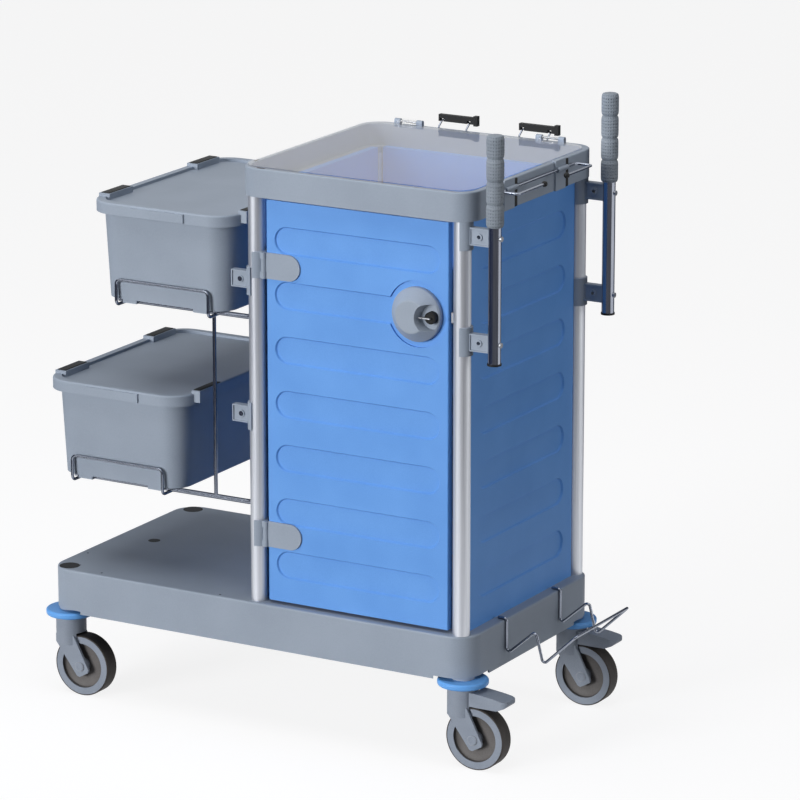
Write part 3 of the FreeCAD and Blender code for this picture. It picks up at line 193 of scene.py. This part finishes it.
def moulded(name, light, dark, roughness, ior=1.49, grain_mm=0.9, relief_mm=0.06, speck=0.35, patch_mm=90.0,
            shine=0.25):
    """Injection or blow moulded plastic or rubber: a fine sparked grain that breaks up the shine."""
    material = bpy.data.materials.new(name)
    tree = blank(material)
    coords = add(tree, "ShaderNodeTexCoord").outputs["Object"]
    colour, specks = mottled(tree, coords, light, dark, patch_mm, grain_mm * 2, speck)
    grain = add(tree, "ShaderNodeTexNoise", inputs={"Vector": coords, "Scale": 1 / (grain_mm * MM), "Detail": 2.0})
    sheen = add(tree, "ShaderNodeMapRange", inputs={
        "Value": specks, "To Min": roughness - 0.05, "To Max": roughness + 0.07})
    relief = add(tree, "ShaderNodeBump", inputs={
        "Strength": 0.35, "Distance": relief_mm * MM, "Height": grain.outputs["Fac"]})
    shader = add(tree, "ShaderNodeBsdfPrincipled", inputs={
        "Base Color": colour, "Roughness": sheen.outputs["Result"], "IOR": ior,
        "Specular IOR Level": shine, "Normal": relief.outputs["Normal"]})
    add(tree, "ShaderNodeOutputMaterial", inputs={"Surface": shader.outputs["BSDF"]})
    return material


def drawn_metal(name, light, dark, roughness, across_mm, along_mm, relief_mm, anisotropy=0.0):
    """Drawn, brushed or plated metal: fine lines along Z where the tube was drawn or rubbed."""
    material = bpy.data.materials.new(name)
    tree = blank(material)
    coords = add(tree, "ShaderNodeTexCoord").outputs["Object"]
    stretched = add(tree, "ShaderNodeMapping", inputs={
        "Vector": coords, "Scale": (1 / (across_mm * MM), 1 / (across_mm * MM), 1 / (along_mm * MM))})
    lines = add(tree, "ShaderNodeTexNoise", inputs={
        "Vector": stretched.outputs["Vector"], "Scale": 1.0, "Detail": 3.0})
    colour = two_tone(tree, lines.outputs["Fac"], dark, light, 0.3, 0.7)
    sheen = add(tree, "ShaderNodeMapRange", inputs={
        "Value": lines.outputs["Fac"], "To Min": max(roughness - 0.05, 0.02), "To Max": roughness + 0.05})
    relief = add(tree, "ShaderNodeBump", inputs={
        "Strength": 0.3, "Distance": relief_mm * MM, "Height": lines.outputs["Fac"]})
    shader = add(tree, "ShaderNodeBsdfPrincipled", inputs={
        "Base Color": colour, "Metallic": 1.0, "Roughness": sheen.outputs["Result"],
        "Anisotropic": anisotropy, "Normal": relief.outputs["Normal"]})
    add(tree, "ShaderNodeOutputMaterial", inputs={"Surface": shader.outputs["BSDF"]})
    return material


def clear_polycarbonate(name, veil_colour, clearest, cloudiest):
    """Clear polycarbonate sheet: shiny outside, with the even milky haze that wiping leaves."""
    material = bpy.data.materials.new(name)
    tree = blank(material)
    coords = add(tree, "ShaderNodeTexCoord").outputs["Object"]
    marks = add(tree, "ShaderNodeTexNoise", inputs={"Vector": coords, "Scale": 1 / (160 * MM), "Detail": 1.0})
    haze = add(tree, "ShaderNodeMapRange", inputs={
        "Value": marks.outputs["Fac"], "From Min": 0.3, "From Max": 0.7, "To Min": clearest, "To Max": cloudiest})
    through = add(tree, "ShaderNodeBsdfTransparent", inputs={"Color": (0.97, 0.975, 0.98, 1)})
    mirror = add(tree, "ShaderNodeBsdfGlossy", inputs={"Color": (1, 1, 1, 1), "Roughness": 0.05})
    tilt = add(tree, "ShaderNodeFresnel", inputs={"IOR": 1.2})
    inside = add(tree, "ShaderNodeNewGeometry").outputs["Backfacing"]
    outer = add(tree, "ShaderNodeMath", {"operation": "SUBTRACT", "use_clamp": True}, {
        0: tilt.outputs["Fac"], 1: inside})
    face = add(tree, "ShaderNodeMixShader", inputs={
        0: outer.outputs["Value"], 1: through.outputs["BSDF"], 2: mirror.outputs["BSDF"]})
    veil = add(tree, "ShaderNodeBsdfPrincipled", inputs={
        "Base Color": linear(veil_colour), "Roughness": 0.35, "IOR": 1.58})
    sheet = add(tree, "ShaderNodeMixShader", inputs={
        0: haze.outputs["Result"], 1: face.outputs["Shader"], 2: veil.outputs["BSDF"]})
    add(tree, "ShaderNodeOutputMaterial", inputs={"Surface": sheet.outputs["Shader"]})
    return material


# Polypropylene, injection moulded in a mid blue-grey, with a satin sparked grain.
grey_polypropylene = moulded("grey_polypropylene", "#9CA7B6", "#949FAE", 0.50)
# Polyethylene, blow moulded door and panels: same grain, a touch waxier.
blue_polyethylene = moulded("blue_polyethylene", "#6AA3EA", "#619AE2", 0.46, ior=1.51)
# Thermoplastic elastomer bumper: smooth, soft, slightly glossy.
blue_elastomer = moulded("blue_elastomer", "#6FB0F6", "#66A6EC", 0.36, grain_mm=0.6, relief_mm=0.03)
# Black ABS for plugs, caps and clip jaws.
black_abs = moulded("black_abs", "#141517", "#0D0E0F", 0.58, ior=1.5, grain_mm=0.7)
# Glass-filled nylon caster bodies, matt with a coarse grain.
caster_nylon = moulded("caster_nylon", "#929BA9", "#88919F", 0.48, ior=1.53, patch_mm=40.0)
# Thermoplastic rubber tread, dull brown-grey with road dust in its grain.
tread_rubber = moulded("tread_rubber", "#4A4644", "#383533", 0.62, ior=1.52, grain_mm=1.4, relief_mm=0.12,
                       patch_mm=22.0)
# Dark recessed wheel centre, moulded nylon.
hub_nylon = moulded("hub_nylon", "#6A6766", "#5D5A59", 0.5, ior=1.53, patch_mm=30.0)
# Soft moulded rubber of the push grips.
grip_rubber = moulded("grip_rubber", "#8D96A1", "#808994", 0.52, ior=1.52, grain_mm=0.8, patch_mm=30.0)
# Zinc plated steel: pins, screws, strike.
zinc_steel = drawn_metal("zinc_steel", "#AEB0B4", "#8B8E93", 0.36, 1.2, 3.0, 0.02)
# Aluminium tube, drawn then satin anodised: soft vertical lines.
anodised_aluminium = drawn_metal("anodised_aluminium", "#D3D6DC", "#BBBFC7", 0.46, 1.4, 260.0, 0.02, 0.4)
# Steel tube and wire, bright chrome plate over a drawn surface.
chrome_plate = drawn_metal("chrome_plate", "#B2B7C4", "#989EAC", 0.12, 1.6, 60.0, 0.01)
wire_chrome = drawn_metal("wire_chrome", "#989EAA", "#7A808C", 0.16, 1.2, 20.0, 0.01)
# Clear polycarbonate lid sheet.
clear_sheet = clear_polycarbonate("clear_polycarbonate", "#F3EFEA", 0.075, 0.095)

FINISHES = {
    "grey_moulding": grey_polypropylene, "blue_panel": blue_polyethylene, "blue_bumper": blue_elastomer,
    "black_plastic": black_abs, "caster_grey": caster_nylon, "tread_rubber": tread_rubber,
    "plated_steel": zinc_steel, "anodised_tube": anodised_aluminium, "chrome_tube": chrome_plate,
    "chrome_wire": wire_chrome, "grip_rubber": grip_rubber, "clear_sheet": clear_sheet,
    "lock_metal": black_abs,
}
for part in record["subparts"]:
    slots = nodes[part["node"]].data.materials
    slots.clear()
    slots.append(FINISHES[part["material_slot"]])


# ---------------------------------------------------------------- push grips
GRIP_BANDS = 4
GRIP_FLUTES = 20
DOT_ROWS = 7


def grip_skin(node, name):
    """A moulded grip of four swollen bands, pitted all over in a grid."""
    low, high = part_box(node)
    middle, length = (low + high) / 2, high.z - low.z
    radius = (high.x - low.x) / 2
    around, rows = GRIP_FLUTES * 8, 240
    shape = bmesh.new()
    rings = []
    for row in range(rows + 1):
        height = row / rows * GRIP_BANDS
        band = min(int(height), GRIP_BANDS - 1)
        along = height - band
        edge = abs(2 * along - 1)
        swell = 1 - 0.17 * edge ** 8
        if row in (0, rows):
            swell -= 0.08
        ring = []
        for step in range(around):
            angle = math.tau * step / around
            pit = max(math.cos(angle * GRIP_FLUTES), 0) * max(-math.cos(along * math.tau * DOT_ROWS), 0)
            r = radius * (swell - 0.14 * pit * (1 - edge ** 12))
            ring.append(shape.verts.new((middle.x + r * math.cos(angle), middle.y + r * math.sin(angle),
                                         low.z + length * row / rows)))
        rings.append(ring)
    for lower, upper in zip(rings, rings[1:]):
        for step in range(around):
            following = (step + 1) % around
            shape.faces.new((lower[step], lower[following], upper[following], upper[step]))
    for ring, z in ((rings[0], low.z), (rings[-1], high.z)):
        centre = shape.verts.new((middle.x, middle.y, z))
        for step in range(around):
            shape.faces.new((ring[step], ring[(step + 1) % around], centre))
    return mesh_from(shape, name, math.radians(60))


for row in ROWS:
    grip = "handle_grip_" + row
    finished("push_grip_" + row, grip_skin(grip, "push_grip_" + row), grip_rubber, "cart", (grip,))


# ---------------------------------------------------------------- wheels
for corner in CORNERS:
    centre = centre_of("caster_hub_" + corner)
    shape = bmesh.new()
    for sign in (-1, 1):
        profile = [(0.011, 5.2), (0.0125, 5.4), (0.024, 6.4), (0.033, 6.0), (0.0362, 8.0), (0.0369, 11.6),
                   (0.0369, 5.1), (0.011, 5.1), (0.011, 5.2)]
        lathe(shape, [(r, h * MM) for r, h in profile], centre, Vector((0, sign, 0)), 72)
    name = "wheel_dish_" + corner
    finished(name, mesh_from(shape, name), hub_nylon, "wheel_" + corner)
    low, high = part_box("caster_axle_" + corner)
    shape = bmesh.new()
    for y, sign in ((low.y, -1), (high.y, 1)):
        lathe(shape, [(r * MM, h * MM) for r, h in (
            (0, 0.35), (3.0, 0.35), (3.4, 0.75), (6.6, 0.75), (8.2, -0.4), (8.2, -1.55), (7.9, -1.55), (7.9, -0.2),
            (0, -0.2))], Vector((centre.x, y, centre.z)), Vector((0, sign, 0)), 48)
    name = "axle_caps_" + corner
    finished(name, mesh_from(shape, name), caster_nylon, "caster_" + corner)


# ---------------------------------------------------------------- key and barrel
knob_low, knob_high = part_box("lock_knob")
key_axis = Vector((knob_high.x - 9.5 * MM, 0, centre_of("lock_knob").z))
shape = bmesh.new()
front = knob_low.y + 6 * MM
lathe(shape, [(r * MM, h * MM) for r, h in (
    (0, 0), (7.6, 0), (7.6, 0.8), (8.2, 0.8), (8.2, 0), (9.0, 0), (9.5, 0.6), (9.5, 13.6), (5.0, 13.7), (5.0, 29.8),
    (0, 29.8))], Vector((key_axis.x, front, key_axis.z)), Vector((0, 1, 0)), 64)
finished("lock_barrel", mesh_from(shape, "lock_barrel"), black_abs, "lock_turn", ("lock_knob",))
shape = bmesh.new()
soft_block(shape, Vector((knob_low.x, knob_low.y, key_axis.z - 1 * MM)),
           Vector((key_axis.x + 3 * MM, front + 0.5 * MM, key_axis.z + 1 * MM)), 0.6 * MM)
finished("key_bow", mesh_from(shape, "key_bow"), zinc_steel, "lock_turn")


# ---------------------------------------------------------------- painted shade in the bin lid lug openings
# Black blocks on each lid top: painted shade where the lid's grip lugs have dark openings.
for level in ("lower", "upper"):
    low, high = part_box("bin_lid_" + level)
    middle_y = (low.y + 3 * MM + high.y) / 2 + 2 * MM
    shape = bmesh.new()
    for offset in (-128.5 * MM, 128.5 * MM):
        for left, right in ((low.x + 5 * MM, low.x + 20.5 * MM), (high.x - 13.5 * MM, high.x - 1.5 * MM)):
            soft_block(shape, Vector((left, middle_y + offset - 30.5 * MM, high.z - 0.5 * MM)),
                       Vector((right, middle_y + offset + 30.5 * MM, high.z + 1.2 * MM)), 0.8 * MM)
    name = "lid_opening_shade_" + level
    finished(name, mesh_from(shape, name), black_abs, "bin_cover_" + level)


# ---------------------------------------------------------------- bag rail ends
rail_low, rail_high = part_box("bag_rail")
rail_z = (rail_low.z + rail_high.z) / 2
shape = bmesh.new()
for y in (rail_low.y + 86 * MM, rail_high.y - 86 * MM):
    bmesh.ops.create_uvsphere(shape, u_segments=24, v_segments=16, radius=4.6 * MM,
                              matrix=Matrix.Translation((rail_high.x - 4 * MM, y, rail_z)))
finished("rail_nubs", mesh_from(shape, "rail_nubs"), black_abs, "rail")
bracket_low, bracket_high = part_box("rail_brackets")
# Thin black strips on the brackets: painted shade in the brackets' vertical slots.
shape = bmesh.new()
for y in (bracket_low.y + 32 * MM, bracket_high.y):
    soft_block(shape, Vector((bracket_low.x + 4.5 * MM, y, bracket_low.z + 1 * MM)),
               Vector((bracket_low.x + 8.2 * MM, y + 9 * MM, bracket_high.z - 2 * MM)), 1 * MM)
finished("rail_slot_shade", mesh_from(shape, "rail_slot_shade"), black_abs, "cart")


# ---------------------------------------------------------------- small black marks on the deck and the ring: painted shade in holes and notches
def from_base_corner(x, y, z):
    """A place measured in mm from the right front bottom corner of the base, as the builder measures."""
    low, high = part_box("base_tray")
    return Vector((high.x + x * MM, low.y + y * MM, z))


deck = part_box("base_tray")[1].z
# Flush black discs: painted shade where the deck has small holes.
shape = bmesh.new()
for x, y in ((-756, 94), (-676, 13.5), (-451, 10), (-730, 32)):
    lathe(shape, [(0, 0.12 * MM), (1.6 * MM, 0.12 * MM), (1.9 * MM, 0), (0, 0)], from_base_corner(x, y, deck), UP, 20)
finished("deck_hole_shade", mesh_from(shape, "deck_hole_shade"), black_abs, "cart")
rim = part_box("top_frame")
rim_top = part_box("top_lid")[0].z - 0.3 * MM
# Thin black blocks on the rim: painted shade of the notches in the frame's rim.
shape = bmesh.new()
for x, y in ((2.5, 44), (34, 2.5)):
    across, along = (4, 13) if x < y else (13, 4)
    spot = Vector((rim[0].x + x * MM, rim[0].y + y * MM, rim_top - 0.2 * MM))
    soft_block(shape, spot, spot + Vector((across * MM, along * MM, 0.7 * MM)), 0.2 * MM)
finished("rim_notch_shade", mesh_from(shape, "rim_notch_shade"), black_abs, "cart")


# ---------------------------------------------------------------- stage, light, camera
KEY, SIDE, OVERHEAD, AMBIENT = 2.92, 0.80, 50.0, 0.05
FLOOR_COLOUR = (0.22, 0.22, 0.23, 1)
FLOOR_GLOW = 0.86
OVERHEAD_PLACE = (-0.2, -0.7, 3.4)
OVERHEAD_SIZE = (3.0, 2.4)
bpy.ops.mesh.primitive_plane_add(size=60, location=(0, 0, cad_box[0].z))
floor = bpy.context.object
floor.name = "floor"
paper = bpy.data.materials.new("backdrop_paper")
tree = blank(paper)
matt = add(tree, "ShaderNodeBsdfDiffuse", inputs={"Color": FLOOR_COLOUR})
glow = add(tree, "ShaderNodeEmission", inputs={"Color": (1, 1, 1, 1), "Strength": FLOOR_GLOW})
lifted = add(tree, "ShaderNodeAddShader", inputs={0: matt.outputs["BSDF"], 1: glow.outputs["Emission"]})
choice = add(tree, "ShaderNodeMixShader", inputs={
    0: seen_directly(tree), 1: matt.outputs["BSDF"], 2: lifted.outputs["Shader"]})
add(tree, "ShaderNodeOutputMaterial", inputs={"Surface": choice.outputs["Shader"]})
floor.data.materials.append(paper)

world = bpy.data.worlds.new("studio")
bpy.context.scene.world = world
tree = blank(world)
soft = add(tree, "ShaderNodeBackground", inputs={"Color": (1, 1, 1, 1), "Strength": AMBIENT})
white = add(tree, "ShaderNodeBackground", inputs={"Color": (1, 1, 1, 1), "Strength": 1.0})
choice = add(tree, "ShaderNodeMixShader", inputs={
    0: seen_directly(tree), 1: soft.outputs["Background"], 2: white.outputs["Background"]})
add(tree, "ShaderNodeOutputWorld", inputs={"Surface": choice.outputs["Shader"]})


def painted_reflection_card(name, start, end, shade, distance=1.45, height=1.1):
    """A curved card that glows with a set colour and only reflections see: painted reflections, so that metal shows
    dark and light bands.
    """
    shape = bmesh.new()
    steps = 24
    columns = []
    for index in range(steps + 1):
        turn = math.radians(start + (end - start) * index / steps)
        foot = Vector((math.sin(turn) * distance, -math.cos(turn) * distance, cad_box[0].z + 0.02))
        columns.append((shape.verts.new(foot), shape.verts.new(foot + UP * height)))
    for (a, b), (c, d) in zip(columns, columns[1:]):
        shape.faces.new((a, c, d, b))
    mesh = bpy.data.meshes.new(name)
    shape.to_mesh(mesh)
    shape.free()
    paint = bpy.data.materials.new(name)
    tree = blank(paint)
    cloth = add(tree, "ShaderNodeBsdfDiffuse", inputs={"Color": (0, 0, 0, 1)})
    glow = add(tree, "ShaderNodeEmission", inputs={"Color": shade, "Strength": 1.0})
    both = add(tree, "ShaderNodeAddShader", inputs={0: cloth.outputs["BSDF"], 1: glow.outputs["Emission"]})
    add(tree, "ShaderNodeOutputMaterial", inputs={"Surface": both.outputs["Shader"]})
    mesh.materials.append(paint)
    card = bpy.data.objects.new(name, mesh)
    bpy.context.scene.collection.objects.link(card)
    card.visible_camera = card.visible_diffuse = card.visible_shadow = card.visible_transmission = False


# Glowing cards seen only in reflections: painted dark and light reflections on the metal and the gloss.
painted_reflection_card("card_far_left", -165, -112, (0.42, 0.45, 0.50, 1))
painted_reflection_card("card_left", -112, -86, (0.16, 0.17, 0.20, 1))
painted_reflection_card("card_front", -86, 12, (0.035, 0.045, 0.085, 1))
painted_reflection_card("card_right", 12, 88, (0.14, 0.14, 0.15, 1))
painted_reflection_card("card_rear", 134, 195, (0.05, 0.06, 0.09, 1))


def sun(name, azimuth, elevation, strength, softness):
    """A distant lamp; azimuth 0 shines from the front and 90 from the right end."""
    light = bpy.data.lights.new(name, "SUN")
    light.energy = strength
    light.angle = math.radians(softness)
    turn, rise = math.radians(azimuth), math.radians(elevation)
    lamp = bpy.data.objects.new(name, light)
    lamp.rotation_mode = "QUATERNION"
    lamp.rotation_quaternion = Vector((
        math.sin(turn) * math.cos(rise), -math.cos(turn) * math.cos(rise), math.sin(rise))).to_track_quat("Z", "Y")
    bpy.context.scene.collection.objects.link(lamp)


sun("key_light", -21, 8, KEY, 26)
sun("side_light", 90, 8, SIDE, 30)
overhead = bpy.data.lights.new("overhead_box", "AREA")
overhead.shape = "RECTANGLE"
overhead.size, overhead.size_y = OVERHEAD_SIZE
overhead.energy = OVERHEAD
lamp = bpy.data.objects.new("overhead_box", overhead)
lamp.location = OVERHEAD_PLACE
bpy.context.scene.collection.objects.link(lamp)

CAMERA_AZIMUTH = math.radians(29.90)
CAMERA_ELEVATION = math.radians(14.98)
CAMERA_DISTANCE = 7.327
CAMERA_LENS = 208.65
AIM = Vector((0.06475, 0.04772, 0.49734))
back = Vector((math.sin(CAMERA_AZIMUTH) * math.cos(CAMERA_ELEVATION),
               -math.cos(CAMERA_AZIMUTH) * math.cos(CAMERA_ELEVATION), math.sin(CAMERA_ELEVATION)))
lens = bpy.data.cameras.new("camera")
lens.lens = CAMERA_LENS
lens.sensor_width = 36.0
camera = bpy.data.objects.new("camera", lens)
camera.rotation_mode = "QUATERNION"
camera.location = AIM + back * CAMERA_DISTANCE
camera.rotation_quaternion = back.to_track_quat("Z", "Y")
bpy.context.scene.collection.objects.link(camera)
bpy.context.scene.camera = camera
bpy.context.scene.view_settings.view_transform = "Standard"
